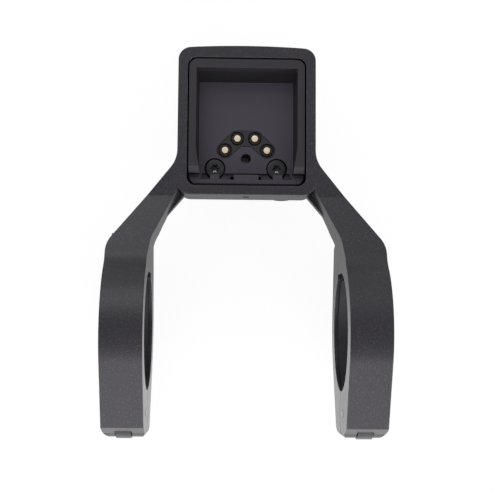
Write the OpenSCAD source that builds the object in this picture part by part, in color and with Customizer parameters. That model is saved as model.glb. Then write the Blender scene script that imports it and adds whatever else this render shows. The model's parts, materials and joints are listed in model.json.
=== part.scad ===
// Display mount for a bicycle: two hinged rings close on the handlebar, two arms
// reach forward from them, and a square cradle between the arms holds the contact tray.
// X runs along the bar, +Y points ahead, +Z up, and the origin is on the bar's axis
// midway between the rings.

/* [Handlebar] */
// Diameter of the bar that the rings close on
bar_d = 31.8; // [26:0.1:38.2]
// Thickness of the rubber liner between bar and ring
liner_t = 1.2; // [0.8:0.1:1.6]
// Radial room between the bar and the metal rims beside the liner
rim_room = 0.35; // [0.2:0.05:0.6]

/* [Rings] */
// Clear distance between the two rings
ring_gap = 52.9; // [43:0.1:64]
// Width of each ring along the bar
ring_w = 11.2; // [9.2:0.05:13.5]
// Metal outside the liner
ring_wall = 4.5; // [3.7:0.1:5.4]
// Width of the metal rim on each side of the liner
rim_w = 1.2; // [0.8:0.1:1.6]
// Slope of the ring's top where it runs down to the rear edge, in degrees
rear_slope = 23.5; // [20:0.5:27]
// From the liner seat back to the upper rear edge
rear_edge = 8.4; // [8:0.1:9]
// Height of the lower end of the rear bevel
bevel_z = 5.1; // [4.6:0.1:5.5]

/* [Hinge] */
// Diameter of the hinge pin
pin_d = 2.6; // [2:0.1:3.1]
// From the liner seat back to the pin's axis
pin_back = 4.9; // [4.7:0.1:5.2]
// Height of the pin's axis above the bar's axis
pin_z = 4.2; // [4:0.1:4.6]
// Radius of the two ears round the pin
ear_r = 6.4; // [6.2:0.1:6.6]
// Radius of the jaw's knuckle where it passes the liner
knuckle_r = 4.2; // [3.4:0.1:4.3]
// Radius of the jaw's tongue where it fills the slot in the rear bevel
tongue_r = 6.8; // [6.5:0.1:7]
// Width of the jaw's tongue
tongue_w = 4.0; // [3.2:0.1:5]
// How far a jaw swings open, in degrees
jaw_swing = 75; // [55:1:75]

/* [Clamp screws] */
// From the liner seat forward to the front face of the ears
ear_l = 10.4; // [9.6:0.1:12.4]
// How far the upper ear reaches below the bar's axis
ear_drop = 6.0; // [5:0.1:7.2]
// Height of the jaw's own ear
jaw_ear_h = 10.2; // [10:0.1:12.2]
// Diameter of the clamp screw
screw_d = 3.0; // [2.5:0.1:3.6]
// Diameter of its head
screw_head_d = 5.5; // [4.6:0.1:6.6]
// Height of its head
screw_head_h = 2.8; // [2:0.1:3]
// Metal between the head's seat and the parting face
screw_grip = 2.8; // [2.4:0.1:3.4]
// How far the screw travels to reach its seat
screw_travel = 4.4; // [3.6:0.1:4.5]
// Diameter of the threaded insert
insert_d = 4.4; // [4.2:0.1:5.3]
// Height of the threaded insert
insert_h = 5.2; // [4.4:0.1:6.2]

/* [Arms] */
// From the rings' outer radius forward to the cradle's rear wall
arm_len = 15.4; // [12.8:0.1:22]
// Slope of the arm's top towards the cradle, in degrees
arm_slope = 15.6; // [12:0.1:18]
// Radius of the hollow between ring and arm
arm_hollow_r = 8; // [6:0.5:10]
// Depth of the arm at its inner edge, above the gusset
arm_step = 7.3; // [6:0.1:8]

/* [Cradle] */
// Width of the cradle
cradle_w = 37.9; // [35:0.1:45.5]
// Length of the cradle
cradle_l = 41.5; // [38:0.1:50]
// Height of the cradle's top above the bar's axis
cradle_top = 6.5; // [5.5:0.1:7.8]
// Depth of the cradle's wall
cradle_h = 10.0; // [9:0.1:12]
// Thickness of the side walls
wall_side = 2.6; // [2.2:0.1:3.2]
// Thickness of the front wall
wall_front = 3.25; // [2.75:0.05:4]
// Thickness of the rear wall
wall_rear = 2.45; // [2.2:0.05:3.2]
// Thickness of the ledge under the tray
ledge_t = 1.5; // [1.2:0.1:2]
// Width of the ledge under the tray
ledge_w = 2.0; // [1.5:0.1:2.6]
// Radius of the outer corners
corner_r = 3.5; // [2.5:0.1:4.5]

/* [Tray] */
// Clearance between tray and cradle
tray_gap = 0.4; // [0.2:0.05:0.5]
// Width of the rim along the sides
rim_side = 1.95; // [1.5:0.05:2.4]
// Width of the rim at the front
rim_front = 2.4; // [1.8:0.1:2.8]
// Depth of the display's recess below the cradle's top
recess_h = 8.0; // [7:0.1:9]
// Thickness of the tray's floor
floor_t = 2.0; // [1.8:0.1:2.4]
// How far the side walls lean in towards the floor
side_draft = 0.75; // [0.4:0.05:1]
// How far the front wall leans in towards the floor
front_draft = 2.3; // [1:0.1:2.6]
// How far the side walls close in at the rear
rear_taper = 1.4; // [1:0.1:2]
// Diameter of the hole for the display's locking screw
lock_d = 2.8; // [2.4:0.1:3.4]
// Distance between the two tray screws
tray_screw_pitch = 17.4; // [15:0.1:18.4]
// Diameter of the tray screws' heads
tray_head_d = 5.5; // [4.6:0.1:6]
// Diameter of the tray and cover screws
small_screw_d = 2.5; // [2:0.1:3]

/* [Contacts] */
// Diameter of a contact's gold pad
pad_d = 1.9; // [1.5:0.1:2.1]
// Outer diameter of a contact's barrel
barrel_d = 3.2; // [3:0.1:3.4]
// Diameter of the well round each barrel
well_d = 4.0; // [3.8:0.1:4.2]
// Half distance between the two forward contacts
inner_x = 2.45; // [2.3:0.05:2.6]
// Half distance between the two rear contacts
outer_x = 5.9; // [5.4:0.05:6.2]
// How far a contact springs down
contact_travel = 0.8; // [0.5:0.1:0.9]

/* [Base] */
// Depth of the base cover
cover_h = 11.5; // [9:0.5:14]
// Wall of the base cover
cover_wall = 1.5; // [1.2:0.1:2]
// Thickness of the circuit board
board_t = 1.2; // [0.8:0.1:1.6]
// Outer diameter of the cable gland
gland_d = 4.4; // [3.6:0.1:5.2]
// Place of the cable gland right of the middle
gland_x = 10.4; // [8:0.1:11]

/* [Hidden] */
$fn = 96;

// Clearances
fit = 0.05;
swing_gap = 0.3;
slot_gap = 0.4;
side_gap = 0.2;
past = 1;
sunk = 0.02;
far = 60;
arc_step = 7.5;

// Rings
bar_r = bar_d / 2;
rim_r = bar_r + rim_room;
seat_r = bar_r + liner_t;
ring_r = seat_r + ring_wall;
ring_x0 = ring_gap / 2;
ring_x1 = ring_x0 + ring_w;
ring_mid = (ring_x0 + ring_x1) / 2;

// Hinge, as places in the plane across the bar: [ahead, up]
pin_at = [-(seat_r + pin_back), pin_z];
pin_bore_d = pin_d + 2 * fit;
pin_cap = 0.6;
pin_proud = 0.15;
heel_y = pin_at.x - ear_r;
ring_end = heel_y - fit;
end_r = [1.2, 2.4];
slope_touch = (ring_r - sunk) * [-sin(rear_slope), cos(rear_slope)];
edge_y = -(seat_r + rear_edge);
rear_top = [edge_y, slope_touch.y + (edge_y - slope_touch.x) * tan(rear_slope)];
bevel_foot = [pin_at.x - sqrt(pow(ear_r - fit, 2) - pow(bevel_z - pin_z, 2)), bevel_z];
heel_r = ear_r + swing_gap;
heel_top = -0.3;
heel_low = [heel_y, -7.8];
heel_under = [heel_y + 1.9, -11.6];
stop_angle = 115;
roof_angle = stop_angle - jaw_swing - 2;
tongue_end = -35;

// Front ears and clamp screws
ear_y = seat_r + ear_l;
part_gap = 0.3;
jaw_top = -(ear_drop + part_gap);
jaw_foot = jaw_top - jaw_ear_h;
screw_y = (rim_r + ear_y) / 2 - 0.6;
screw_seat = jaw_top - screw_grip;
screw_tip = jaw_top - 0.1;

// Arms and cradle
cradle_y0 = ring_r + arm_len;
cradle_y1 = cradle_y0 + cradle_l;
cradle_z0 = cradle_top - cradle_h;
half_w = cradle_w / 2;
crown = 0.7;
crown_span = half_w - corner_r - 1.5;
crown_steps = 5;
arm_foot_y = cradle_y0 - 0.5;
mark_size = [1.7, 0.6, 2.0];
mark_z = 0.7;
arm_u = [cos(arm_slope), -sin(arm_slope)];
arm_n = [sin(arm_slope), cos(arm_slope)];
arm_h = arm_n * [arm_foot_y, cradle_top];
hollow_reach = ring_r + arm_hollow_r;
hollow_at = (arm_h + arm_hollow_r) * arm_n
    + sqrt(pow(hollow_reach, 2) - pow(arm_h + arm_hollow_r, 2)) * arm_u;
hollow_ring = hollow_at * ring_r / hollow_reach;
hollow_arm = hollow_at - arm_hollow_r * arm_n;

// Opening of the cradle and the tray in it
open_x = half_w - wall_side;
open_y0 = cradle_y0 + wall_rear;
open_y1 = cradle_y1 - wall_front;
tray_x = open_x - tray_gap;
tray_y0 = open_y0 + tray_gap;
tray_y1 = open_y1 - tray_gap;
tray_top = cradle_top - 0.25;
tray_z0 = cradle_z0;
tray_r = [3.2, 2.3];
open_r = 2.5;
lip_cut = 0.65;
floor_z = cradle_top - recess_h;
floor_low = floor_z - floor_t;
inner_x1 = tray_x - rim_side;
lip_y = tray_y0 + 1.75;
lip_z = tray_top - 3;
front_y = tray_y1 - rim_front;
taper_y = tray_y0 + 10.3;
floor_edge = lip_y + 2.5;
tab_y = lip_y + 1.45;
catch_x = 3.4;
pocket_x = catch_x + 0.95;
ramp_y = [lip_y + 1.5, lip_y + 3.25];
ramp_h = 1.25;
ledge_z = tray_z0 - ledge_t;

// Screws, contacts and base
tray_screw_y = tray_y0 + 5.65;
lock_y = tray_y0 + 8.5;
cover_screw_x = 9.5;
cover_screw_y = tray_y1 - 6.5;
contact_y = [tray_y0 + 10.9, tray_y0 + 14.25];
contacts = [
    [-outer_x, contact_y[0]], [-inner_x, contact_y[1]],
    [inner_x, contact_y[1]], [outer_x, contact_y[0]]
];
block_r = well_d / 2 + 0.2;
block_gap = 0.12;
flange_w = 1.1;
seal_t = 0.4;
flange_t = 1.2;
flange_top = floor_low - seal_t;
board_top = flange_top - flange_t;
board_y0 = lock_y + 0.4;
board_y1 = cover_screw_y - 4;
board_x = open_x - 3.6;
cover_z0 = ledge_z - cover_h;
cover_floor = cover_z0 + cover_wall;
cover_x = open_x + 0.6;
cover_y0 = open_y0 - 0.6;
cover_y1 = open_y1 + 0.6;
gland_z = ledge_z - 3.6;
gland_boss = 0.4;
gland_lip = 0.6;
boss_d = 6.4;

// Geometry helpers
function unit(v) = v / norm(v);
function turned(a) = a > 180 ? a - 360 : a < -180 ? a + 360 : a;
function ray(from, angle, reach) = from + reach * [cos(angle), sin(angle)];
function touch(p, r, side) =
    let (a = atan2(p.y, p.x) + side * acos(r / norm(p))) r * [cos(a), sin(a)];
function corner_arc(a, b, c, r) =
    let (u = unit(a - b), w = unit(c - b), half = acos(u * w) / 2)
    let (centre = b + unit(u + w) * r / sin(half))
    let (p = b + u * r / tan(half) - centre, q = b + w * r / tan(half) - centre)
    let (from = atan2(p.y, p.x), sweep = turned(atan2(q.y, q.x) - from))
    let (n = max(2, ceil(abs(sweep) / arc_step)))
    [for (i = [0:n]) ray(centre, from + sweep * i / n, r)];

// An outline of corners [x, y, radius]
module rounded(corners) {
    n = len(corners);
    flat = [for (c = corners) [c.x, c.y]];
    polygon([for (i = [0:n - 1])
        each corners[i].z > 0
            ? corner_arc(flat[(i + n - 1) % n], flat[i], flat[(i + 1) % n], corners[i].z)
            : [flat[i]]]);
}

module box2(x0, x1, y0, y1, r = 0) {
    rounded([[x0, y0, r], [x1, y0, r], [x1, y1, r], [x0, y1, r]]);
}

module capsule(p, q, r) {
    translate(p) circle(r);
    translate(q) circle(r);
    translate(p) rotate(atan2(q.y - p.y, q.x - p.x)) translate([0, -r]) square([norm(q - p), 2 * r]);
}

module slab(z0, z1) {
    translate([0, 0, z0]) linear_extrude(z1 - z0) children();
}

// A profile across the bar, [ahead, up], drawn out from x0 to x1
module along_x(x0, x1) {
    translate([x0, 0, 0]) rotate([90, 0, 90]) linear_extrude(x1 - x0) children();
}

// A profile seen from behind, [right, up], drawn out from y0 to y1
module along_y(y0, y1) {
    translate([0, y1, 0]) rotate([90, 0, 0]) linear_extrude(y1 - y0) children();
}

module on_side(s) {
    mirror([s < 0 ? 1 : 0, 0, 0]) children();
}

module both_sides() {
    children();
    mirror([1, 0, 0]) children();
}

// The upper half ring, its ears, the arm and the cradle from the side
module frame_profile() {
    difference() {
        union() {
            intersection() {
                circle(ring_r);
                translate([-far, 0]) square(2 * far);
            }
            polygon([[0, 0], slope_touch, rear_top, bevel_foot, pin_at]);
            difference() {
                polygon([
                    [0, 0], hollow_ring, hollow_at, hollow_arm, [arm_foot_y, cradle_top],
                    [cradle_y1 + past, cradle_top], [cradle_y1 + past, cradle_z0],
                    [cradle_y0, cradle_z0], [ear_y + 2, -ear_drop + 1.2],
                    [ear_y, -ear_drop], [0, -ear_drop]
                ]);
                translate(hollow_at) circle(arm_hollow_r);
            }
            translate(pin_at) circle(ear_r);
        }
        circle(rim_r);
        translate([-rim_r, -far]) square([2 * rim_r, far]);
    }
}

// One ring from above, with its rear corners rounded
module ring_plan() {
    rounded([
        [ring_x0 - past, far, 0], [ring_x0 - past, 0, 0], [ring_x0, 0, 0], [ring_x0, ring_end, end_r.x],
        [ring_x1, ring_end, end_r.y], [ring_x1, 0, 0], [ring_x1 + past, 0, 0], [ring_x1 + past, far, 0]
    ]);
}

// Ribbon of ring and arm from above, for the right side
module arm_plan() {
    rounded([
        [ring_x1, ring_end, end_r.y], [ring_x1, ring_r + 1.5, 7], [half_w, cradle_y0 + 9.6, 8],
        [half_w, cradle_y0 + 20, 0], [half_w - wall_side - 1, cradle_y0 + 20, 0],
        [half_w - wall_side - 1, cradle_y0, 0], [half_w - 0.5, cradle_y0 + 2, 0],
        [ring_x0 - 0.9, ring_r + 3.2, 8], [ring_x0, ring_r - 2, 4], [ring_x0, ring_end, end_r.x]
    ]);
}

// Square with a crowned front edge
module cradle_plan() {
    rounded([
        [-half_w, cradle_y0, corner_r], [half_w, cradle_y0, corner_r],
        [half_w, cradle_y1 - crown, corner_r],
        for (i = [crown_steps:-1:-crown_steps])
            let (x = crown_span * i / crown_steps) [x, cradle_y1 - crown * pow(x / half_w, 2), 0],
        [-half_w, cradle_y1 - crown, corner_r]
    ]);
}

// Web below each arm's inner edge
module gusset_plan() {
    polygon([
        [half_w - 3.6, cradle_y0 + 2], [half_w - 2.6, cradle_y0 + 1.5],
        [ring_x0 - 1.3, ring_r + 6.6], [ring_x0, ring_r + 4],
        [ring_x0 + 3, ring_r + 4], [half_w + 2, cradle_y0 + 6]
    ]);
}

// The slot for the jaw's tongue in the ears of one ring
module tongue_room() {
    intersection() {
        translate(pin_at) circle(tongue_r + slot_gap);
        polygon([
            pin_at, ray(pin_at, roof_angle, far), [-far, far], [-far, -far],
            [0, -far], ray(pin_at, tongue_end + 5, far)
        ]);
    }
    translate(pin_at) circle(knuckle_r + swing_gap);
}

module arm_frame() color("#48464a") difference() {
    union() {
        intersection() {
            slab(-far / 2, far / 2) union() {
                both_sides() arm_plan();
                cradle_plan();
            }
            along_x(-far, far) frame_profile();
        }
        slab(cradle_z0, cradle_top - arm_step) both_sides() gusset_plan();
        slab(ledge_z, cradle_z0)
            box2(-half_w + 1.2, half_w - 1.2, cradle_y0 + 1.3, cradle_y1 - 1.8, corner_r - 1);
    }
    slab(tray_z0, cradle_top + past) box2(-open_x, open_x, open_y0, open_y1, open_r);
    slab(ledge_z - past, tray_z0 + past)
        box2(-open_x + ledge_w, open_x - ledge_w, open_y0 + ledge_w, open_y1 - ledge_w, 1.5);
    both_sides() {
        along_x(ring_x0 + rim_w, ring_x1 - rim_w) union() {
            circle(seat_r);
            translate([-seat_r, -far]) square([2 * seat_r, far]);
        }
        along_x(ring_mid - tongue_w / 2 - side_gap, ring_mid + tongue_w / 2 + side_gap)
            tongue_room();
        along_x(ring_x0 - past, ring_x1 - pin_cap) translate(pin_at) circle(d = pin_d);
        translate([ring_mid, screw_y, -ear_drop - past]) {
            cylinder(d = insert_d, h = insert_h + past);
            cylinder(d = screw_d + 0.4, h = insert_h + past + 1.2);
        }
    }
    translate([-mark_size.x / 2, cradle_y0 - past, mark_z])
        cube([mark_size.x, past + mark_size.y, mark_size.z]);
}

module display_tray() color("#444247") {
    tray_shell();
    // Spring catch in the middle and a tab over each screw's edge, all moulded on the rear lip
    slab(floor_z - 1, lip_z - 0.4) box2(-catch_x, catch_x, lip_y - fit, tab_y);
    both_sides() slab(floor_z + 0.3, lip_z - 0.4)
        box2(tray_screw_pitch / 2 - 1.3, tray_screw_pitch / 2 + 1.3, lip_y - fit, tab_y);
}

module tray_shell() difference() {
    union() {
        slab(tray_z0, tray_top) rounded([
            [-tray_x, tray_y0, tray_r.x], [tray_x, tray_y0, tray_r.x],
            [tray_x, tray_y1, tray_r.y], [-tray_x, tray_y1, tray_r.y]
        ]);
        both_sides() {
            translate([tray_screw_pitch / 2, tray_screw_y, board_top])
                cylinder(d = boss_d, h = floor_low - board_top + fit);
            translate([cover_screw_x, cover_screw_y, board_top - 2])
                cylinder(d = 5, h = floor_low - board_top + 2 + fit);
        }
    }
    // The recess, with its leaning walls
    intersection() {
        slab(floor_z, tray_top + past) polygon([
            [-inner_x1 + rear_taper, lip_y], [inner_x1 - rear_taper, lip_y],
            [inner_x1, taper_y], [inner_x1, tray_y1], [-inner_x1, tray_y1], [-inner_x1, taper_y]
        ]);
        along_y(tray_y0, tray_y1) polygon([
            [-inner_x1 + side_draft, floor_z - past], [inner_x1 - side_draft, floor_z - past],
            [inner_x1 - side_draft, floor_z], [inner_x1, tray_top], [inner_x1, tray_top + 2],
            [-inner_x1, tray_top + 2], [-inner_x1, tray_top], [-inner_x1 + side_draft, floor_z]
        ]);
        along_x(-tray_x, tray_x) polygon([
            [lip_y, floor_z - past], [front_y - front_draft, floor_z - past],
            [front_y - front_draft, floor_z], [front_y, tray_top], [front_y, tray_top + 2],
            [lip_y, tray_top + 2]
        ]);
    }
    // The rim steps down to the rear lip
    along_x(-far, far) polygon([
        [tray_y0 - past, lip_z - lip_cut - past], [tray_y0 + lip_cut, lip_z], [lip_y + 0.6, lip_z], [lip_y + 0.6, lip_z - 0.8],
        [ramp_y[0], lip_z - 0.8], [ramp_y[0], tray_top - ramp_h], [ramp_y[1], tray_top],
        [ramp_y[1], tray_top + past], [tray_y0 - past, tray_top + past]
    ]);
    // Groove behind the floor, with deeper pockets beside the catch
    slab(floor_z - 0.9, floor_z + past)
        box2(-inner_x1 + rear_taper + 0.3, inner_x1 - rear_taper - 0.3, lip_y, floor_edge);
    both_sides() slab(floor_low - past, floor_z) box2(catch_x, pocket_x, lip_y, tab_y);
    slab(floor_low - past, floor_z) box2(-pocket_x, pocket_x, tab_y, tab_y + 0.3);
    // Holes through the floor
    slab(floor_low - past, floor_z + past) {
        block_plan(block_r + block_gap);
        translate([0, lock_y]) circle(d = lock_d);
    }
    both_sides() {
        translate([tray_screw_pitch / 2, tray_screw_y]) {
            slab(floor_z - 1.8, floor_z + past) circle(d = tray_head_d + 0.4);
            slab(board_top - past, floor_z) circle(d = small_screw_d + 0.2);
        }
        translate([cover_screw_x, cover_screw_y])
            slab(board_top - 2 - past, floor_low) circle(d = small_screw_d);
    }
}

// Arch round the four contacts
module block_plan(r) {
    both_sides() capsule([inner_x, contact_y[1]], [outer_x, contact_y[0]], r);
    translate([-inner_x, contact_y[1] - r]) square([2 * inner_x, 2 * r]);
}

// Flange under the tray's floor, clear of the screw bosses and the locking screw
module flange_plan() {
    difference() {
        block_plan(block_r + flange_w);
        both_sides() translate([tray_screw_pitch / 2, tray_screw_y]) circle(d = boss_d + 0.4);
        translate([0, lock_y]) circle(d = lock_d + 2.2);
    }
}

module contact_block() color("#3a383c") difference() {
    union() {
        slab(flange_top, floor_z) block_plan(block_r);
        slab(board_top, flange_top) flange_plan();
    }
    for (c = contacts) translate(c) {
        slab(floor_z - 1.1, floor_z + past) circle(d = well_d);
        slab(board_top - past, floor_z) circle(d = barrel_d + 2 * fit);
    }
}

module contact_seal() color("#202022") slab(flange_top, floor_low) difference() {
    flange_plan();
    block_plan(block_r + fit);
}

barrel_top = floor_z - 0.3;
collar_d = pad_d + 0.35;
collar_top = barrel_top - 0.75;
collar_h = 0.45;
spring_top = collar_top - collar_h;
spring_foot = board_top + 0.3;

module contact_barrel(i) color("#5a4d3e") translate(contacts[i]) difference() {
    union() {
        slab(board_top, barrel_top) circle(d = barrel_d);
        slab(board_top - board_t - 0.5, board_top) circle(d = 0.9);
    }
    slab(spring_foot, barrel_top + past) circle(d = pad_d + 2 * fit);
    slab(spring_foot, collar_top + fit) circle(d = collar_d + 2 * fit);
}

module contact_plunger(i) color("#e0d3b8") translate(contacts[i]) {
    slab(spring_top, barrel_top + contact_travel - fit) circle(d = pad_d);
    slab(spring_top, collar_top) circle(d = collar_d);
}

// A coil spring as a tube swept along its helix
coil_turns = 4;
coil_steps = 14;
coil_sides = 6;
coil_wire = 0.22;
function coil_ring(k, r, z0, z1) =
    let (t = k / (coil_turns * coil_steps), a = 360 * coil_turns * t, w = coil_wire / 2)
    [for (s = [0:coil_sides - 1])
        let (b = 360 * s / coil_sides, d = r + w * cos(b))
        [d * cos(a), d * sin(a), z0 + w + (z1 - z0 - 2 * w) * t + w * sin(b)]];

module coil(r, z0, z1) {
    last = coil_turns * coil_steps;
    m = coil_sides;
    polyhedron(
        [for (k = [0:last]) each coil_ring(k, r, z0, z1)],
        concat(
            [[for (s = [0:m - 1]) s]],
            [for (k = [0:last - 1], s = [0:m - 1])
                [k * m + s, (k + 1) * m + s, (k + 1) * m + (s + 1) % m, k * m + (s + 1) % m]],
            [[for (s = [m - 1:-1:0]) last * m + s]]
        ));
}

module contact_spring(i) color("#b8b4ac") translate(contacts[i])
    coil(pad_d / 2 - 0.2, spring_foot, spring_top);

module circuit_board() color("#24503a") slab(board_top - board_t, board_top) difference() {
    box2(-board_x, board_x, board_y0, board_y1, 1);
    translate([0, lock_y]) circle(d = boss_d - 0.8);
    for (c = contacts) translate(c) circle(d = 1);
}

// The pod below the ledge, open at the top
module base_cover() color("#37353a") difference() {
    union() {
        intersection() {
            slab(cover_z0, ledge_z) box2(-cover_x, cover_x, cover_y0, cover_y1, 3);
            cover_form(0);
        }
        translate([gland_x, cover_y0 + cover_wall, gland_z]) rotate([90, 0, 0])
            cylinder(d = gland_d + 2, h = cover_wall + gland_boss);
    }
    difference() {
        intersection() {
            slab(cover_floor, ledge_z + past) box2(-cover_x + cover_wall, cover_x - cover_wall,
                cover_y0 + cover_wall, cover_y1 - cover_wall, 2);
            cover_form(cover_wall);
        }
        both_sides() {
            slab(cover_z0, board_top) translate([tray_screw_pitch / 2, tray_screw_y])
                circle(d = boss_d);
            slab(cover_z0, board_top - 2) translate([cover_screw_x, cover_screw_y])
                circle(d = boss_d);
            slab(cover_z0, board_top - board_t)
                box2(board_x - 2, board_x - 1, board_y0 + 1, board_y1 - 1);
        }
        slab(cover_z0, floor_low) translate([0, lock_y]) circle(d = boss_d - 1.4);
    }
    slab(cover_z0 - past, floor_low + past) translate([0, lock_y]) circle(d = lock_d);
    both_sides() {
        translate([tray_screw_pitch / 2, tray_screw_y])
            slab(cover_floor + 0.6, board_top + past) circle(d = small_screw_d);
        translate([cover_screw_x, cover_screw_y]) {
            slab(cover_z0 - past, board_top) circle(d = small_screw_d + 0.2);
            slab(cover_z0 - past, cover_z0 + 2) circle(d = tray_head_d - 0.3);
        }
    }
    translate([gland_x, cover_y0 + cover_wall + 3, gland_z]) rotate([90, 0, 0]) {
        cylinder(d = gland_d, h = 10);
        cylinder(d = gland_d + 1.4, h = 3);
    }
}

// Sloped front and rounded lower edges of the pod, less a wall
module cover_form(wall) {
    along_x(-far / 2, far / 2) rounded([
        [cover_y0 + wall, cover_z0 + wall, 3], [cover_y1 - 7 - wall, cover_z0 + wall, 4],
        [cover_y1 - wall, ledge_z - 2.5, 3], [cover_y1 - wall, ledge_z + 3, 0],
        [cover_y0 + wall, ledge_z + 3, 0]
    ]);
}

module screw(d, head_d, head_h, length, drive) {
    difference() {
        union() {
            cylinder(d = head_d, h = head_h);
            translate([0, 0, -length]) cylinder(d = d, h = length);
        }
        translate([0, 0, head_h - head_h * 0.55]) linear_extrude(head_h) lobes(drive);
    }
}

// Six-lobe recess
module lobes(d) {
    circle(d = d * 0.72);
    for (a = [0:60:300]) rotate(a) translate([d * 0.36, 0]) circle(d = d * 0.27);
}

module tray_screw(s) color("#242427") on_side(s)
    translate([tray_screw_pitch / 2, tray_screw_y, floor_z - 1.8])
        screw(small_screw_d, tray_head_d, 1.6, floor_z - 1.8 - cover_floor - 1.6, 2.4);

module cover_screws() color("#2c2c30") both_sides()
    translate([cover_screw_x, cover_screw_y, cover_z0 + 2]) mirror([0, 0, 1])
        screw(small_screw_d, tray_head_d - 0.7, 1.7, floor_low - cover_z0 - 3.4, 2.2);

module cable_gland() color("#1e1e20")
    translate([gland_x, cover_y0 + cover_wall, gland_z]) rotate([90, 0, 0]) difference() {
        union() {
            translate([0, 0, -gland_lip]) cylinder(d = gland_d + 1, h = gland_lip);
            cylinder(d = gland_d, h = cover_wall + gland_boss);
            translate([0, 0, cover_wall + gland_boss]) cylinder(d = gland_d + 0.8, h = gland_lip);
        }
        translate([0, 0, -past]) cylinder(d = gland_d - 1.8, h = cover_wall + gland_boss + 3);
    }

// What lies below the parting line: ahead under the ears, behind under the hinge
module jaw_room() {
    difference() {
        polygon([
            [-far, heel_top], [-seat_r / 2, heel_top], [seat_r / 2, jaw_top],
            [far, jaw_top], [far, -far], [-far, -far]
        ]);
        translate(pin_at) circle(heel_r);
    }
}

module jaw_profile() {
    toe = [ear_y - 3, jaw_foot];
    difference() {
        intersection() {
            union() {
                circle(ring_r);
                polygon([[0, 0], [heel_y, 0], heel_low, heel_under, touch(heel_under, ring_r - sunk, 1)]);
                polygon([[0, 0], [ear_y, 0], [ear_y, jaw_foot + 8], toe, touch(toe, ring_r - sunk, -1)]);
            }
            jaw_room();
        }
        circle(rim_r);
    }
}

module tongue_profile() {
    difference() {
        union() {
            translate(pin_at) circle(knuckle_r);
            intersection() {
                translate(pin_at) circle(tongue_r);
                polygon([
                    pin_at, ray(pin_at, stop_angle, far), [-far, far], [-far, -far],
                    [0, -far], ray(pin_at, tongue_end, far)
                ]);
            }
            // Root of the tongue, where it leaves the heel
            intersection() {
                translate(pin_at) circle(heel_r + past);
                polygon([[heel_y, heel_top], heel_low, heel_under, [0, -ring_r], [0, heel_top]]);
            }
        }
        circle(seat_r + swing_gap);
    }
}

module clamp_jaw(s) color("#434145") on_side(s) difference() {
    union() {
        intersection() {
            along_x(ring_x0, ring_x1) jaw_profile();
            slab(-far, far) ring_plan();
        }
        along_x(ring_mid - tongue_w / 2, ring_mid + tongue_w / 2) tongue_profile();
    }
    along_x(ring_x0 + rim_w, ring_x1 - rim_w) circle(seat_r);
    along_x(ring_x0, ring_x1) translate(pin_at) circle(d = pin_bore_d);
    translate([ring_mid, screw_y, jaw_foot - past]) {
        cylinder(d = screw_head_d + 0.3, h = screw_seat - jaw_foot + past);
        cylinder(d = screw_d + 0.3, h = jaw_ear_h + 2 * past);
    }
}

module hinge_pin(s) color("#8d8f92") on_side(s)
    along_x(ring_x0 - pin_proud, ring_x1 - pin_cap) translate(pin_at) circle(d = pin_d);

module clamp_screw(s) color("#2a2a2d") on_side(s)
    translate([ring_mid, screw_y, screw_seat - screw_travel]) rotate([180, 0, 0])
        screw(screw_d, screw_head_d, screw_head_h, screw_tip - screw_seat + screw_travel, 2.8);

module thread_insert(s) color("#a08a5a") on_side(s)
    translate([ring_mid, screw_y, -ear_drop + 0.2]) difference() {
        cylinder(d = insert_d, h = insert_h - 0.2);
        translate([0, 0, -past]) cylinder(d = screw_d + 0.16, h = insert_h + 2 * past);
    }

module liner_ring() {
    difference() {
        circle(seat_r);
        circle(bar_r);
    }
}

module upper_liner(s) color("#1b1b1c") on_side(s)
    along_x(ring_x0 + rim_w, ring_x1 - rim_w) intersection() {
        liner_ring();
        translate([-far, 0]) square(2 * far);
    }

module lower_liner(s) color("#1b1b1c") on_side(s)
    along_x(ring_x0 + rim_w, ring_x1 - rim_w) intersection() {
        liner_ring();
        jaw_room();
    }

arm_frame();
display_tray();
contact_block();
contact_seal();
contact_barrel(0);  // contact_barrel_1
contact_barrel(1);  // contact_barrel_2
contact_barrel(2);  // contact_barrel_3
contact_barrel(3);  // contact_barrel_4
contact_plunger(0);  // contact_plunger_1
contact_plunger(1);  // contact_plunger_2
contact_plunger(2);  // contact_plunger_3
contact_plunger(3);  // contact_plunger_4
contact_spring(0);  // contact_spring_1
contact_spring(1);  // contact_spring_2
contact_spring(2);  // contact_spring_3
contact_spring(3);  // contact_spring_4
circuit_board();
base_cover();
cover_screws();
cable_gland();
tray_screw(-1);  // tray_screw_left
tray_screw(1);  // tray_screw_right
clamp_jaw(-1);  // clamp_jaw_left
clamp_jaw(1);  // clamp_jaw_right
hinge_pin(-1);  // hinge_pin_left
hinge_pin(1);  // hinge_pin_right
clamp_screw(-1);  // clamp_screw_left
clamp_screw(1);  // clamp_screw_right
thread_insert(-1);  // thread_insert_left
thread_insert(1);  // thread_insert_right
upper_liner(-1);  // upper_liner_left
upper_liner(1);  // upper_liner_right
lower_liner(-1);  // lower_liner_left
lower_liner(1);  // lower_liner_right
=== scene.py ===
import json
import math
import bpy
import bmesh
from mathutils import Matrix, Vector


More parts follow.
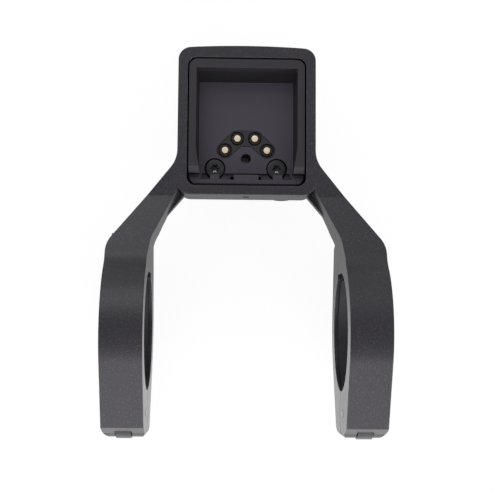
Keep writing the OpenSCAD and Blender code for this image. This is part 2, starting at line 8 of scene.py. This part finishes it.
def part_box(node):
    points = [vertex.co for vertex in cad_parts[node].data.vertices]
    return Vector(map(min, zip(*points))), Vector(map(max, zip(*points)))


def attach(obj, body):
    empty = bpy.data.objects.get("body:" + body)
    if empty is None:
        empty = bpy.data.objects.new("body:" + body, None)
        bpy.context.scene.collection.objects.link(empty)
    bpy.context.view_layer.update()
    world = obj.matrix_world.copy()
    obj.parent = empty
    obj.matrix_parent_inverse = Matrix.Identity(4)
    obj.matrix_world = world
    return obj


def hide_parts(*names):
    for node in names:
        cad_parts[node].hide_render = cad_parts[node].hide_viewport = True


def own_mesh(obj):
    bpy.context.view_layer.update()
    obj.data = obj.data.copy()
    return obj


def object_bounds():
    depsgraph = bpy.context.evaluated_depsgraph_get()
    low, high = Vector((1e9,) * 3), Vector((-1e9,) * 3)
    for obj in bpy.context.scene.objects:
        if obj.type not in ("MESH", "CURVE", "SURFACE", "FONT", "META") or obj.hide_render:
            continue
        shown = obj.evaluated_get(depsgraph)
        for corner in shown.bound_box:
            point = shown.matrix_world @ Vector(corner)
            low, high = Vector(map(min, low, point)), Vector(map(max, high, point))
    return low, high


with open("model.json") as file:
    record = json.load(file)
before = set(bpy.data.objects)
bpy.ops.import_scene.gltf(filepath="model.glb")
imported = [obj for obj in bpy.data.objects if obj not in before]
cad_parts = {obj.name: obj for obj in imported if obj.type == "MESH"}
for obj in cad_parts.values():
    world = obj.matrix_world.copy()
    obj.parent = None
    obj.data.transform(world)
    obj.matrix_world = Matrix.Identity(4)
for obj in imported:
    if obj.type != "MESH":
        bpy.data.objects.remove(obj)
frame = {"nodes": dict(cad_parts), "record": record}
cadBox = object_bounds()
nodes = frame["nodes"]
mm = 0.001
print("frame loaded:", len(nodes), "nodes")


# Shader helpers

class Wire:
    def __init__(self, graph, socket):
        self.graph = graph
        self.socket = socket

    def calc(self, operation, other, swapped=False):
        pair = [other, self] if swapped else [self, other]
        return self.graph.add("ShaderNodeMath", {"operation": operation}, {0: pair[0], 1: pair[1]})

    def __add__(self, other):
        return self.calc("ADD", other)

    def __radd__(self, other):
        return self.calc("ADD", other, True)

    def __sub__(self, other):
        return self.calc("SUBTRACT", other)

    def __rsub__(self, other):
        return self.calc("SUBTRACT", other, True)

    def __mul__(self, other):
        return self.calc("MULTIPLY", other)

    def __rmul__(self, other):
        return self.calc("MULTIPLY", other, True)


class Graph:
    def __init__(self, tree):
        self.tree = tree
        tree.nodes.clear()

    # settings are set first, then each socket gets its value or its link
    def add(self, kind, settings=None, values=None, out=0):
        made = self.tree.nodes.new(kind)
        for name, value in (settings or {}).items():
            setattr(made, name, value)
        for key, value in (values or {}).items():
            if isinstance(value, Wire):
                self.tree.links.new(value.socket, made.inputs[key])
            else:
                made.inputs[key].default_value = value
        return Wire(self, made.outputs[out]) if len(made.outputs) else None

    def noise(self, place, scale, detail=2.0, rough=0.5):
        return self.add("ShaderNodeTexNoise", {"noise_dimensions": "3D"},
                        {"Vector": place, "Scale": scale, "Detail": detail, "Roughness": rough}, "Fac")

    # 0 at low, 1 at high, and level beyond them
    def step(self, value, low, high):
        return self.add("ShaderNodeMapRange", {"clamp": True}, {0: value, 1: low, 2: high})

    def blend(self, factor, first, second):
        return self.add("ShaderNodeMix", {"data_type": "RGBA", "clamp_factor": True},
                        {0: factor, 6: first, 7: second}, 2)

    def along(self, vector, letter):
        return self.add("ShaderNodeSeparateXYZ", None, {0: vector}, letter)

    def distance(self, vector, spot):
        return self.add("ShaderNodeVectorMath", {"operation": "DISTANCE"}, {0: vector, 1: spot}, "Value")

    # strength, and depth in mm
    def bump(self, height, strength, depth, normal=None):
        values = {"Strength": strength, "Distance": depth * mm, "Height": height}
        if normal is not None:
            values["Normal"] = normal
        return self.add("ShaderNodeBump", None, values)


def rgba(code, gain=1.0):
    parts = [int(code[spot:spot + 2], 16) / 255 for spot in (1, 3, 5)]
    return (*(gain * (c / 12.92 if c <= 0.04045 else ((c + 0.055) / 1.055) ** 2.4) for c in parts), 1.0)


def grey(level):
    return (level, level, level, 1)


def newMaterial(name, look):
    material = bpy.data.materials.new(name)
    material.use_nodes = True
    graph = Graph(material.node_tree)
    place = graph.add("ShaderNodeTexCoord", None, None, "Object")
    values = look(graph, place)
    shader = graph.add("ShaderNodeBsdfPrincipled", None, values, "BSDF")
    graph.add("ShaderNodeOutputMaterial", None, {"Surface": shader})
    return material


edgeLook = {"samples": 6, "flat": 0.995, "full": 0.8}


# Rounded edges: the softened normal, and a mask that is 1 along an edge
def softEdges(graph, radius):
    soft = graph.add("ShaderNodeBevel", {"samples": edgeLook["samples"]}, {"Radius": radius * mm}, "Normal")
    flat = graph.add("ShaderNodeNewGeometry", None, None, "Normal")
    same = graph.add("ShaderNodeVectorMath", {"operation": "DOT_PRODUCT"}, {0: soft, 1: flat}, "Value")
    return soft, graph.step(same, edgeLook["flat"], edgeLook["full"])


# Two close shades of one colour, mixed by a slow cloud
def cloudy(graph, cloud, code, dark, light):
    return graph.blend(graph.step(cloud, 0.35, 0.65), rgba(code, dark), rgba(code, light))


# Finishes: lengths in mm, noise scales per metre

blasted = {"base": "#171619", "worn": "#646168", "edge": 0.30, "roughness": 0.37, "grain": 5200,
           "sparkle": 4700, "sparkleShare": 0.55, "cloud": 55, "rub": 420, "bump": 0.30, "depth": 0.05}


def blastedMetal(graph, place):
    soft, edge = softEdges(graph, blasted["edge"])
    grain = graph.noise(place, blasted["grain"], 3.0, 0.6)
    sparkle = graph.step(graph.noise(place, blasted["sparkle"], 1.0), 0.62, 0.74)
    cloud = graph.noise(place, blasted["cloud"], 3.0)
    rub = graph.step(graph.noise(place, blasted["rub"], 4.0), 0.42, 0.62)
    base = cloudy(graph, cloud, blasted["base"], 0.93, 1.06)
    # painted glints: the sparkle specks are lightened towards the worn colour
    base = graph.blend(sparkle * blasted["sparkleShare"], base, rgba(blasted["worn"]))
    base = graph.blend(edge * (0.15 + 0.2 * rub), base, rgba(blasted["worn"]))
    rough = blasted["roughness"] + 0.10 * (cloud - 0.5) - 0.08 * sparkle - 0.06 * edge
    bump = graph.bump(grain, blasted["bump"], blasted["depth"], soft)
    return {"Base Color": base, "Roughness": rough, "Normal": bump}


# rimDepth is how far down the tray's recess starts, and it is all recess at twice that; below it the walls
# get painted shade and the upward faces get painted light
moulded = {"base": "#151317", "light": "#4c4a50", "floor": "#35323a", "wall": "#09080a", "rimDepth": 1.2,
           "edge": 0.22, "roughness": 0.52, "spark": 6800, "cell": 3900, "cloud": 80,
           "bump": 0.25, "depth": 0.04}


def mouldedPlastic(graph, place):
    soft, edge = softEdges(graph, moulded["edge"])
    spark = graph.noise(place, moulded["spark"], 2.0, 0.6)
    cell = graph.add("ShaderNodeTexVoronoi", {"feature": "F1"},
                     {"Vector": place, "Scale": moulded["cell"]}, "Distance")
    cloud = graph.noise(place, moulded["cloud"], 2.0)
    upward = graph.along(graph.add("ShaderNodeNewGeometry", None, None, "Normal"), "Z")
    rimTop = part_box("display_tray")[1].z
    rim = moulded["rimDepth"] * mm
    low = graph.step(graph.along(place, "Z"), rimTop - rim, rimTop - 2 * rim)
    paintedFloorLight = low * graph.step(upward, 0.3, 0.8)  # painted light: the upward faces of the recess floor and lip are made lighter
    base = cloudy(graph, cloud, moulded["base"], 0.92, 1.05)
    # painted shade: everything lower than the tray's rim goes near black in the wall colour
    base = graph.blend(low, base, rgba(moulded["wall"]))
    base = graph.blend(paintedFloorLight, base, rgba(moulded["floor"]))
    base = graph.blend(edge * 0.35, base, rgba(moulded["light"]))
    rough = moulded["roughness"] + 0.08 * (spark - 0.5) + 0.06 * (cloud - 0.5)
    bump = graph.bump(cell + 0.6 * spark, moulded["bump"], moulded["depth"], soft)
    return {"Base Color": base, "Roughness": rough, "Normal": bump}


contactPlastic = {"base": "#171618", "light": "#29282a", "edge": 0.12, "roughness": 0.42, "fine": 7600,
                  "bump": 0.15, "depth": 0.03}


def contactBlack(graph, place):
    soft, edge = softEdges(graph, contactPlastic["edge"])
    fine = graph.noise(place, contactPlastic["fine"], 2.0)
    pale = edge * 0.3 + 0.2 * graph.step(fine, 0.4, 0.7)
    base = graph.blend(pale, rgba(contactPlastic["base"]), rgba(contactPlastic["light"]))
    rough = contactPlastic["roughness"] + 0.1 * (fine - 0.5)
    bump = graph.bump(fine, contactPlastic["bump"], contactPlastic["depth"], soft)
    return {"Base Color": base, "Roughness": rough, "Normal": bump}


rubberLook = {"base": "#0e0e0f", "bloom": "#1e1d1f", "edge": 0.18, "roughness": 0.62, "dust": 900,
              "cloud": 120, "fine": 5200, "bump": 0.2, "depth": 0.04}


def rubber(graph, place):
    soft, edge = softEdges(graph, rubberLook["edge"])
    dust = graph.step(graph.noise(place, rubberLook["dust"], 5.0, 0.7), 0.5, 0.75)
    cloud = graph.noise(place, rubberLook["cloud"], 3.0)
    fine = graph.noise(place, rubberLook["fine"], 2.0)
    base = graph.blend(0.35 * dust + 0.3 * edge, rgba(rubberLook["base"]), rgba(rubberLook["bloom"]))
    rough = rubberLook["roughness"] + 0.2 * (cloud - 0.5)
    bump = graph.bump(fine + 0.5 * dust, rubberLook["bump"], rubberLook["depth"], soft)
    return {"Base Color": base, "Roughness": rough, "Normal": bump}


goldLook = {"base": "#e8dcc4", "deep": "#c9b48a", "roughness": 0.5, "fine": 5200, "tarnish": 900,
            "bump": 0.12, "depth": 0.02}


def goldPlate(graph, place):
    fine = graph.noise(place, goldLook["fine"], 3.0, 0.6)
    tarnish = graph.step(graph.noise(place, goldLook["tarnish"], 3.0), 0.45, 0.7)
    base = graph.blend(0.3 * tarnish, rgba(goldLook["base"]), rgba(goldLook["deep"]))
    rough = goldLook["roughness"] + 0.12 * tarnish + 0.06 * (fine - 0.5)
    bump = graph.bump(fine, goldLook["bump"], goldLook["depth"])
    return {"Base Color": base, "Roughness": rough, "Metallic": 1.0, "Normal": bump}


bronzeLook = {"base": "#3a332a", "deep": "#1d1a16", "roughness": 0.42, "metal": 0.6, "fine": 4200,
              "tarnish": 1100, "bump": 0.15, "depth": 0.02}


def bronze(graph, place):
    fine = graph.noise(place, bronzeLook["fine"], 3.0, 0.6)
    tarnish = graph.step(graph.noise(place, bronzeLook["tarnish"], 4.0), 0.38, 0.66)
    base = graph.blend(tarnish, rgba(bronzeLook["base"]), rgba(bronzeLook["deep"]))
    rough = bronzeLook["roughness"] + 0.15 * tarnish
    bump = graph.bump(fine, bronzeLook["bump"], bronzeLook["depth"])
    return {"Base Color": base, "Roughness": rough, "Metallic": bronzeLook["metal"], "Normal": bump}


# The painted highlight is on one flank of a tray screw's recess, where the key lamp glints: drop is how far
# from the axis, below how far down
oxide = {"base": "#0f0e10", "worn": "#57545a", "bright": "#d9d7dc", "edge": 0.10, "roughness": 0.38,
         "fine": 4800, "rub": 1500, "bump": 0.15, "depth": 0.02, "drop": 0.74, "below": 0.9, "wide": 0.6,
         "lip": (0.08, 0.14)}


def blackOxide(graph, place):
    soft, edge = softEdges(graph, oxide["edge"])
    fine = graph.noise(place, oxide["fine"], 3.0, 0.6)
    rub = graph.step(graph.noise(place, oxide["rub"], 3.0), 0.45, 0.65)
    base = graph.blend(edge * (0.2 + 0.6 * rub), rgba(oxide["base"]), rgba(oxide["worn"]))
    low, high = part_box("tray_screw_right")
    centre = (low + high) / 2
    flank = Vector((centre.x, centre.y - oxide["drop"] * mm, high.z - oxide["below"] * mm))
    folded = graph.add("ShaderNodeVectorMath", {"operation": "ABSOLUTE"}, {0: place}, "Vector")
    away = graph.distance(folded, tuple(abs(value) for value in flank))
    paintedGlint = graph.step(away, oxide["wide"] * mm, 0.75 * oxide["wide"] * mm)  # painted highlight of the key lamp on the flank
    lipTop, lipEnd = oxide["lip"]
    paintedGlint = paintedGlint * graph.step(graph.along(place, "Z"), high.z - lipTop * mm, high.z - lipEnd * mm)
    # painted highlight: the flank is lightened to the bright colour
    base = graph.blend(paintedGlint, base, rgba(oxide["bright"]))
    rough = oxide["roughness"] + 0.1 * (fine - 0.5) - 0.06 * edge
    bump = graph.bump(fine, oxide["bump"], oxide["depth"], soft)
    return {"Base Color": base, "Roughness": rough, "Normal": bump}


# A pin's end is bright steel in the middle, with painted shade round it and along its sides: rim is where
# the painted shade starts, in shares of its radius
pinLook = {"light": "#b9b7bd", "deep": "#5f5e62", "dark": "#161517", "roughness": 0.34, "fine": 3800,
           "rim": (0.55, 0.75), "bump": 0.15, "depth": 0.02}


def pinSteel(graph, place):
    fine = graph.noise(place, pinLook["fine"], 4.0, 0.6)
    low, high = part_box("hinge_pin_right")
    flat = graph.add("ShaderNodeVectorMath", {"operation": "MULTIPLY"}, {0: place, 1: (0, 1, 1)}, "Vector")
    away = graph.distance(flat, (0, (low.y + high.y) / 2, (low.z + high.z) / 2))
    radius = (high.z - low.z) / 2
    rimFrom, rimTo = pinLook["rim"]
    base = graph.blend(graph.step(fine, 0.35, 0.65), rgba(pinLook["deep"]), rgba(pinLook["light"]))
    # painted shade beyond the rim, on the end's edge and the pin's sides
    base = graph.blend(graph.step(away, rimFrom * radius, rimTo * radius), base, rgba(pinLook["dark"]))
    rough = pinLook["roughness"] + 0.1 * (fine - 0.5)
    bump = graph.bump(fine, pinLook["bump"], pinLook["depth"])
    return {"Base Color": base, "Roughness": rough, "Metallic": 1.0, "Normal": bump}


springLook = {"deep": "#a9a69f", "light": "#c9c6bf", "roughness": 0.28, "fine": 9000}


def springSteel(graph, place):
    fine = graph.noise(place, springLook["fine"], 3.0, 0.6)
    base = graph.blend(graph.step(fine, 0.35, 0.65), rgba(springLook["deep"]), rgba(springLook["light"]))
    return {"Base Color": base, "Roughness": springLook["roughness"] + 0.12 * (fine - 0.5), "Metallic": 1.0}


brassLook = {"base": "#b8965a", "deep": "#7d6236", "roughness": 0.35, "fine": 3600, "stain": 700,
             "bump": 0.2, "depth": 0.03}


def insertBrass(graph, place):
    fine = graph.noise(place, brassLook["fine"], 3.0, 0.6)
    stain = graph.step(graph.noise(place, brassLook["stain"], 3.0), 0.4, 0.7)
    base = graph.blend(0.6 * stain, rgba(brassLook["base"]), rgba(brassLook["deep"]))
    rough = brassLook["roughness"] + 0.15 * stain
    bump = graph.bump(fine, brassLook["bump"], brassLook["depth"])
    return {"Base Color": base, "Roughness": rough, "Metallic": 1.0, "Normal": bump}


boardLook = {"base": "#17452f", "light": "#2f6d4c", "roughness": 0.32, "weave": 2600,
             "tracks": 260.0, "gap": 0.03}


def boardGreen(graph, place):
    weave = graph.noise(place, boardLook["weave"], 2.0)
    rows = {"Vector": place, "Scale": boardLook["tracks"], "Mortar Size": boardLook["gap"]}
    tracks = graph.add("ShaderNodeTexBrick", None, rows, "Fac")
    base = graph.blend(0.5 * tracks + 0.2 * weave, rgba(boardLook["base"]), rgba(boardLook["light"]))
    return {"Base Color": base, "Roughness": boardLook["roughness"] + 0.2 * (weave - 0.5)}


looks = {
    "anodised_frame": blastedMetal, "moulded_black": mouldedPlastic, "contact_black": contactBlack,
    "rubber": rubber, "bronze": bronze, "gold": goldPlate, "spring_steel": springSteel,
    "board_green": boardGreen, "pin_steel": pinSteel, "insert_brass": insertBrass, "black_screw": blackOxide,
}
finishes = {slot: newMaterial(slot, look) for slot, look in looks.items()}
for part in frame["record"]["subparts"]:
    mesh = nodes[part["node"]].data
    mesh.materials.clear()
    mesh.materials.append(finishes[part["material_slot"]])
print("finishes:", len(finishes))


keeping = {"merge": 0.001, "sharpOver": 32}


# Makes the finished piece from a bmesh, on its body and in place of its CAD node
def keep(mesh, name, slot, body, replaced):
    bmesh.ops.remove_doubles(mesh, verts=mesh.verts, dist=keeping["merge"] * mm)
    bmesh.ops.recalc_face_normals(mesh, faces=mesh.faces)
    data = bpy.data.meshes.new(name)
    mesh.to_mesh(data)
    mesh.free()
    data.materials.append(finishes[slot])
    piece = bpy.data.objects.new(name, data)
    bpy.context.scene.collection.objects.link(piece)
    for face in data.polygons:
        face.use_smooth = True
    data.set_sharp_from_angle(angle=math.radians(keeping["sharpOver"]))
    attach(piece, body)
    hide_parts(replaced)
    return piece


# A profile of (radius, height) in mm, spun about the given axis
def turned(profile, centre, axis, steps):
    mesh = bmesh.new()
    axis = Vector(axis)
    out = axis.orthogonal().normalized()
    rail = [mesh.verts.new(centre + (out * radius + axis * along) * mm) for radius, along in profile]
    edges = [mesh.edges.new(pair) for pair in zip(rail, rail[1:])]
    bmesh.ops.spin(mesh, geom=rail + edges, cent=centre, axis=axis, angle=2 * math.pi,
                   steps=steps, use_merge=True)
    return mesh


def middle(node):
    low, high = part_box(node)
    return (low + high) / 2, low, high


upright = (0, 0, 1)
plungerShape = {"padRadius": 0.95, "collarRadius": 1.125, "collarHeight": 0.45, "round": 0.06, "top": 0.05,
                "crown": ((0, 0.12), (0.03, 0.06), (0.09, 0.012), (0.16, 0)), "steps": 40}

for number in range(1, 5):
    node = f"contact_plunger_{number}"
    centre, low, high = middle(node)
    top = (high.z - low.z) / mm
    pad, collar, rise = plungerShape["padRadius"], plungerShape["collarRadius"], plungerShape["collarHeight"]
    soft, edge = plungerShape["round"], plungerShape["top"]
    profile = [(0, 0), (collar - soft, 0), (collar, soft), (collar, rise - edge), (collar - edge, rise),
               (pad, rise)]
    profile += [(pad - inset, top - drop) for inset, drop in plungerShape["crown"]] + [(0, top)]
    mesh = turned(profile, Vector((centre.x, centre.y, low.z)), upright, plungerShape["steps"])
    keep(mesh, f"goldPlunger{number}", "gold", f"plunger_{number}", node)

barrelShape = {"radius": 1.6, "bore": 1.0, "lowerBore": 1.175, "lowerTop": 2.6, "foot": 0.3, "round": 0.05,
               "mouth": 0.16, "tail": 0.45, "tailDepth": 1.7, "tailTip": (0.08, 0.1), "steps": 48}

for number in range(1, 5):
    node = f"contact_barrel_{number}"
    centre, low, high = middle(node)
    top = (high.z - low.z) / mm
    tail, base, soft, lip = (barrelShape[key] for key in ("tail", "tailDepth", "round", "mouth"))
    outer, bore, wide = barrelShape["radius"], barrelShape["bore"], barrelShape["lowerBore"]
    tipInset, tipRise = barrelShape["tailTip"]
    lift, foot = base + barrelShape["lowerTop"], base + barrelShape["foot"]
    profile = [(0, 0), (tail - tipInset, 0), (tail, tipRise), (tail, base), (outer - soft, base),
               (outer, base + soft), (outer, top - lip), (outer - soft, top - soft), (outer - lip, top),
               (bore + lip, top), (bore + soft, top - soft), (bore, top - lip), (bore, lift), (wide, lift),
               (wide, foot), (0, foot)]
    mesh = turned(profile, Vector((centre.x, centre.y, low.z)), upright, barrelShape["steps"])
    keep(mesh, f"bronzeBarrel{number}", "bronze", "mount", node)

# play is what the coil is shorter than the gap it fills, travel how far its contact goes down
springShape = {"wire": 0.22, "turns": 4, "steps": 72, "sides": 8, "play": 0.02, "travel": 0.8}

for number in range(1, 5):
    node = f"contact_spring_{number}"
    centre, low, high = middle(node)
    wire = springShape["wire"] / 2 * mm
    rise = high.z - low.z - springShape["play"] * mm
    mesh = bmesh.new()
    coil = bmesh.ops.create_circle(mesh, segments=springShape["sides"], radius=wire, cap_ends=False)["verts"]
    bmesh.ops.rotate(mesh, matrix=Matrix.Rotation(math.pi / 2, 3, "X"), verts=coil)
    bmesh.ops.translate(mesh, vec=(high.x - wire, centre.y, low.z + wire), verts=coil)
    climb = Vector((0, 0, (rise - 2 * wire) / springShape["steps"]))
    bmesh.ops.spin(mesh, geom=mesh.verts[:] + mesh.edges[:], cent=centre, axis=upright, dvec=climb,
                   angle=2 * math.pi * springShape["turns"], steps=springShape["steps"], use_merge=False)
    bmesh.ops.holes_fill(mesh, edges=[edge for edge in mesh.edges if edge.is_boundary])
    piece = keep(mesh, f"coilSpring{number}", "spring_steel", "mount", node)
    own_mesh(piece)
print("contacts turned")

pinShape = {"chamfer": 0.25, "dome": 0.03, "shoulder": 0.1, "rim": 0.08, "steps": 40}

for side in ("left", "right"):
    node = f"hinge_pin_{side}"
    centre, low, high = middle(node)
    length = (high.x - low.x) / mm
    radius = (high.z - low.z) / 2 / mm
    cut, shoulder = pinShape["chamfer"], pinShape["shoulder"]
    profile = [(0, 0), (radius - cut, 0), (radius, cut), (radius, length - cut - shoulder),
               (radius - pinShape["rim"], length - cut), (radius - cut, length - shoulder),
               (radius * 0.5, length - pinShape["dome"]), (0, length)]
    if side == "right":
        profile = [(wide, length - along) for wide, along in profile[::-1]]  # the seen end faces the middle
    mesh = turned(profile, Vector((low.x, centre.y, centre.z)), (1, 0, 0), pinShape["steps"])
    keep(mesh, f"hingePin{side.title()}", "pin_steel", "mount", node)

glandShape = {"neck": 2.2, "innerLip": 2.7, "innerDepth": 0.6, "outerLip": 2.6, "outerDepth": 0.6,
              "bore": 1.3, "round": 0.25, "corner": 0.07, "steps": 48}

centre, low, high = middle("cable_gland")
length = (high.y - low.y) / mm
lip, flange, neck, bore = (glandShape[key] for key in ("outerLip", "innerLip", "neck", "bore"))
soft, corner = glandShape["round"], glandShape["corner"]
outerEnd, innerStart = glandShape["outerDepth"], length - glandShape["innerDepth"]
profile = [(bore + soft, 0), (lip - soft, 0), (lip - corner, corner), (lip, soft), (lip, outerEnd - soft),
           (lip - corner, outerEnd - corner), (lip - soft, outerEnd), (neck, outerEnd), (neck, innerStart),
           (flange, innerStart), (flange, length), (bore, length), (bore, soft), (bore + corner, corner),
           (bore + soft, 0)]
mesh = turned(profile, Vector((centre.x, low.y, centre.z)), (0, 1, 0), glandShape["steps"])
keep(mesh, "cableGland", "rubber", "mount", "cable_gland")
print("pins and gland turned")


# The recess's walls in mm and shares, and the head's round as steps of (inset, drop) in its own radius
recess = {"rim": (0.08, 0.1), "wall": (0.2, 0.8), "cone": 0.3}
headRound = ((1.6, 0), (0.55, 0.22), (0.12, 0.6), (0, 1.1))


# One screw: a lobed recess, a rounded head and a shank, grown ring by ring from the recess's rim
def lobedScrew(shape, seat, pointingUp=False):
    mesh = bmesh.new()

    def ring(edges, radius, height, lobed=0.0, grow=True):
        if grow:
            made = bmesh.ops.extrude_edge_only(mesh, edges=edges)["geom"]
            edges = [item for item in made if isinstance(item, bmesh.types.BMEdge)]
        for vert in {vert for edge in edges for vert in edge.verts}:
            angle = math.atan2(vert.co.y, vert.co.x)
            wide = radius + lobed * math.cos(6 * angle)
            vert.co = Vector((wide * math.cos(angle), wide * math.sin(angle), height))
        return edges

    start = bmesh.ops.create_circle(mesh, segments=shape["steps"], radius=shape["drive"], cap_ends=False)
    rim = list({edge for vert in start["verts"] for edge in vert.link_edges})
    top, soft, drive, lobe = (shape[key] for key in ("headHeight", "round", "drive", "lobe"))
    rim = ring(rim, drive, top, lobe, grow=False)
    rimInset, rimDrop = recess["rim"]
    wallInset, wallShare = recess["wall"]
    inner = ring(rim, drive - rimInset, top - rimDrop, lobe)
    inner = ring(inner, drive - wallInset, top - shape["depth"] * wallShare, lobe)
    inner = ring(inner, drive * recess["cone"], top - shape["depth"])
    bmesh.ops.holes_fill(mesh, edges=inner)
    outer = rim
    for inset, drop in headRound:
        outer = ring(outer, shape["head"] - soft * inset, top - soft * drop)
    outer = ring(outer, shape["head"], 0)
    outer = ring(outer, shape["shank"], 0)
    outer = ring(outer, shape["shank"], shape["tip"] - shape["length"])
    outer = ring(outer, shape["shank"] - shape["tip"], -shape["length"])
    bmesh.ops.holes_fill(mesh, edges=outer)
    bmesh.ops.transform(mesh, matrix=Matrix.Scale(mm, 4), verts=mesh.verts)
    if pointingUp:
        bmesh.ops.rotate(mesh, matrix=Matrix.Rotation(math.pi, 3, "X"), verts=mesh.verts)
    bmesh.ops.translate(mesh, vec=seat, verts=mesh.verts)
    return mesh


traySettings = {"head": 2.75, "headHeight": 1.6, "round": 0.3, "drive": 1.1, "lobe": 0.2, "depth": 1.25,
                "shank": 1.25, "tip": 0.3, "steps": 60}
clampSettings = {"head": 2.75, "headHeight": 2.77, "round": 0.35, "drive": 1.2, "lobe": 0.16, "depth": 1.5,
                 "shank": 1.5, "tip": 0.35, "steps": 60}
coverSettings = {"head": 2.4, "headHeight": 1.7, "round": 0.3, "drive": 0.95, "lobe": 0.13, "depth": 0.9,
                 "shank": 1.25, "tip": 0.3, "steps": 60}

for side in ("left", "right"):
    centre, low, high = middle(f"tray_screw_{side}")
    settings = dict(traySettings, length=(high.z - low.z) / mm - traySettings["headHeight"])
    seat = Vector((centre.x, centre.y, high.z - traySettings["headHeight"] * mm))
    screw = lobedScrew(settings, seat)
    keep(screw, f"trayScrew{side.title()}", "black_screw", "mount", f"tray_screw_{side}")
    centre, low, high = middle(f"clamp_screw_{side}")
    settings = dict(clampSettings, length=(high.z - low.z) / mm - clampSettings["headHeight"])
    seat = Vector((centre.x, centre.y, low.z + clampSettings["headHeight"] * mm))
    screw = lobedScrew(settings, seat, pointingUp=True)
    keep(screw, f"clampScrew{side.title()}", "black_screw", f"screw_{side}", f"clamp_screw_{side}")

centre, low, high = middle("cover_screws")
settings = dict(coverSettings, length=(high.z - low.z) / mm - coverSettings["headHeight"])
pair = bmesh.new()
outward = high.x - coverSettings["head"] * mm
for way in (-1, 1):
    seat = Vector((way * outward, centre.y, low.z + coverSettings["headHeight"] * mm))
    one = lobedScrew(settings, seat, pointingUp=True)
    data = bpy.data.meshes.new("coverScrew")
    one.to_mesh(data)
    one.free()
    pair.from_mesh(data)
    bpy.data.meshes.remove(data)
keep(pair, "coverScrews", "black_screw", "mount", "cover_screws")
print("screws made")


# Floor, light and camera

# Levels of the floor's glow: white to the camera, and rear and ahead in reflections, which change between
# the two lengths of turn. The round shade under the base cover runs from inner to outer
floorLook = {"height": cadBox[0][2] - 0.02 * mm, "size": 6.0, "base": 0.9, "white": 1.02, "share": 0.9,
             "rear": 1.5, "ahead": 0.62, "turn": (0.016, -0.006), "shade": (0, 0.055, 0), "inner": 0.009,
             "outer": 0.014}

bpy.ops.mesh.primitive_plane_add(size=floorLook["size"], location=(0, 0, floorLook["height"]))
floor = bpy.context.object
floor.name = "floor"
floorMaterial = bpy.data.materials.new("floorPaper")
floorMaterial.use_nodes = True
graph = Graph(floorMaterial.node_tree)
cameraRay, glossyRay, clearRay = (graph.add("ShaderNodeLightPath", None, None, kind)
                                  for kind in ("Is Camera Ray", "Is Glossy Ray", "Is Transmission Ray"))
seen = cameraRay.calc("MAXIMUM", glossyRay).calc("MAXIMUM", clearRay)
paper = graph.add("ShaderNodeBsdfDiffuse", None, {"Color": grey(floorLook["base"])}, "BSDF")
spot = graph.add("ShaderNodeTexCoord", None, None, "Object")
sweep = graph.step(graph.along(spot, "Y"), *floorLook["turn"])  # brighter behind the rings
pale = graph.blend(sweep, grey(floorLook["ahead"]), grey(floorLook["rear"]))
pale = graph.blend(glossyRay, grey(floorLook["white"]), pale)
glow = graph.add("ShaderNodeEmission", None, {"Color": pale, "Strength": 1.0}, "Emission")
away = graph.distance(spot, floorLook["shade"])
lit = graph.step(away, floorLook["inner"], floorLook["outer"])
mixed = graph.add("ShaderNodeMixShader", None, {0: seen * lit * floorLook["share"], 1: paper, 2: glow})
under = graph.add("ShaderNodeNewGeometry", None, None, "Backfacing")
through = graph.add("ShaderNodeBsdfTransparent", None, None, "BSDF")
mixed = graph.add("ShaderNodeMixShader", None, {0: under, 1: mixed, 2: through})  # open to a look from below
graph.add("ShaderNodeOutputMaterial", None, {"Surface": mixed})
floor.data.materials.append(floorMaterial)

# The ceiling is dimmer than the walls, and turn is where one becomes the other
roomLook = {"walls": (0.885, 0.86, 0.92, 1), "ceiling": (0.585, 0.568, 0.625, 1), "turn": (0.70, 0.97)}

world = bpy.data.worlds.new("studio")
bpy.context.scene.world = world
world.use_nodes = True
graph = Graph(world.node_tree)
facing = graph.add("ShaderNodeTexCoord", None, None, "Generated")
ceiling = graph.step(graph.along(facing, "Z"), *roomLook["turn"])
pale = graph.blend(ceiling, roomLook["walls"], roomLook["ceiling"])
room = graph.add("ShaderNodeBackground", None, {"Color": pale, "Strength": 1.0})
white = graph.add("ShaderNodeBackground", None, {"Color": grey(1), "Strength": 1.0})
cameraRay = graph.add("ShaderNodeLightPath", None, None, "Is Camera Ray")
mixed = graph.add("ShaderNodeMixShader", None, {0: cameraRay, 1: room, 2: white})
graph.add("ShaderNodeOutputWorld", None, {"Surface": mixed})

lampTint = (0.97, 0.95, 1)
lampAim = Vector((0, 0.02, 0))
lamps = {
    "key": {"place": (-0.30, 0.72, 0.75), "size": 0.6, "power": 1.8},
    "rear": {"place": (-0.05, -0.85, 0.50), "size": 0.7, "power": 3.2},
    "sideLeft": {"place": (-0.55, -0.45, 0.10), "size": 0.3, "power": 2.5},
    "sideRight": {"place": (0.60, -0.45, 0.10), "size": 0.3, "power": 5.6},
}
for name, lamp in lamps.items():
    light = bpy.data.lights.new(name, "AREA")
    light.energy = lamp["power"]
    light.size = lamp["size"]
    light.color = lampTint
    holder = bpy.data.objects.new(name, light)
    bpy.context.scene.collection.objects.link(holder)
    holder.location = lamp["place"]
    holder.rotation_euler = (lampAim - holder.location).to_track_quat("-Z", "Y").to_euler()

# turn is a rotation vector in radians, from the world to the camera
cameraSettings = {"place": (-0.0068159, -0.0045969, 0.2824194), "turn": (-0.0993, 0.0251, -0.0087),
                  "lens": 74.89, "sensor": 36}
cameraData = bpy.data.cameras.new("camera")
cameraData.sensor_width = cameraSettings["sensor"]
cameraData.lens = cameraSettings["lens"]
camera = bpy.data.objects.new("camera", cameraData)
bpy.context.scene.collection.objects.link(camera)
turn = Vector(cameraSettings["turn"])
looking = Matrix.Rotation(turn.length, 4, turn.normalized()).transposed()
camera.matrix_world = Matrix.Translation(cameraSettings["place"]) @ looking
bpy.context.scene.camera = camera
bpy.context.scene.view_settings.view_transform = "Standard"
print("light and camera set")
